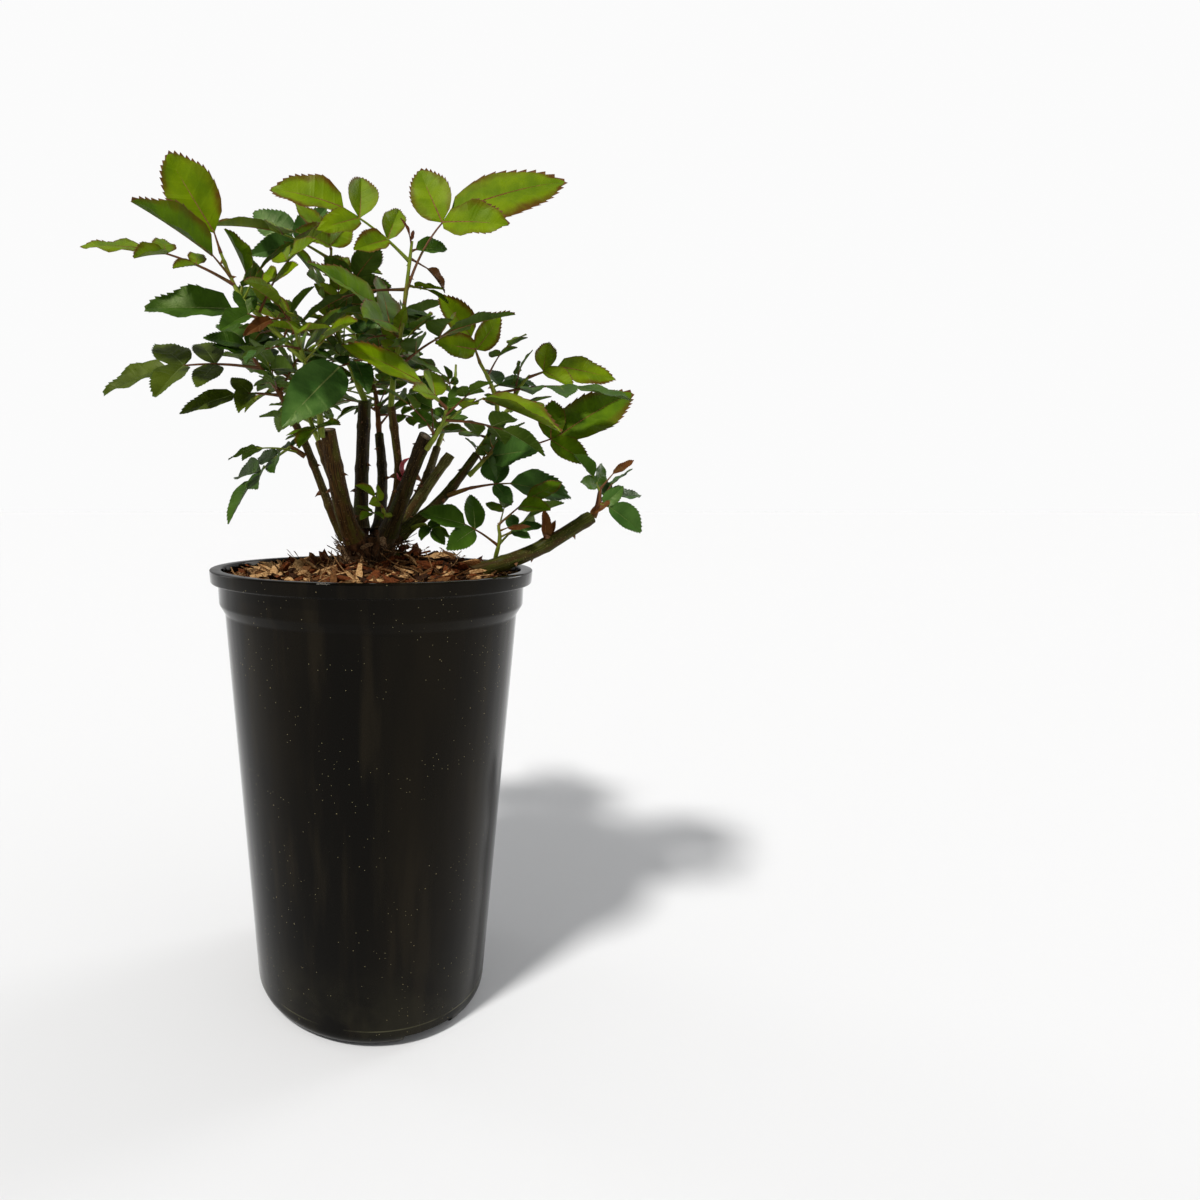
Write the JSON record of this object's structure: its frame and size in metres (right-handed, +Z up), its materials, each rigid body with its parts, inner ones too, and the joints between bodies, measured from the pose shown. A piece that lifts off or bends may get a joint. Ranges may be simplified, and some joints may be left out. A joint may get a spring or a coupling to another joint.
{
  "type": "potted rose bush",
  "caption": "Young pruned rose bush with leafy green shoots on woody canes, growing in a tall black nursery pot topped with bark mulch.",
  "frame": {"origin": "middle of the pot's flat underside, on the ground plane", "axes": "+Z up along the pot's axis, -Y towards the side the picture was taken from, +X to the right in the picture"},
  "size_m": [0.3263, 0.2508, 0.5049],
  "materials": {
    "black_plastic": "gloss",
    "bark_mulch": "loose bark chips, matt",
    "rose_wood": "rough bark, matt",
    "green_cane": "smooth green bark, satin",
    "rose_foliage": "satin leaves"
  },
  "bodies": {
    "root": {"pot": "black_plastic", "potting_mix": "bark_mulch", "crown": "rose_wood", "cane_left_thick": "rose_wood", "cane_middle": "rose_wood", "cane_centre": "rose_wood", "cane_cut_right": "rose_wood", "cane_cut_second": "rose_wood", "cane_back_left": "rose_wood", "cane_back": "rose_wood", "cane_left_thin": "green_cane", "cane_right": "green_cane", "branch_low_right": "green_cane", "cane_back_right": "green_cane", "foliage_upper_left": "rose_foliage", "foliage_left": "rose_foliage", "foliage_low_left": "rose_foliage", "foliage_middle": "rose_foliage", "foliage_centre": "rose_foliage", "foliage_cut_right": "rose_foliage", "foliage_right": "rose_foliage", "foliage_right_low": "rose_foliage", "foliage_low_right": "rose_foliage", "foliage_branch_middle": "rose_foliage", "foliage_branch_end": "rose_foliage", "sprout_front": "rose_foliage", "sprout_right": "rose_foliage", "foliage_back_left": "rose_foliage", "foliage_back": "rose_foliage", "foliage_back_right": "rose_foliage"}
  },
  "joints": []
}
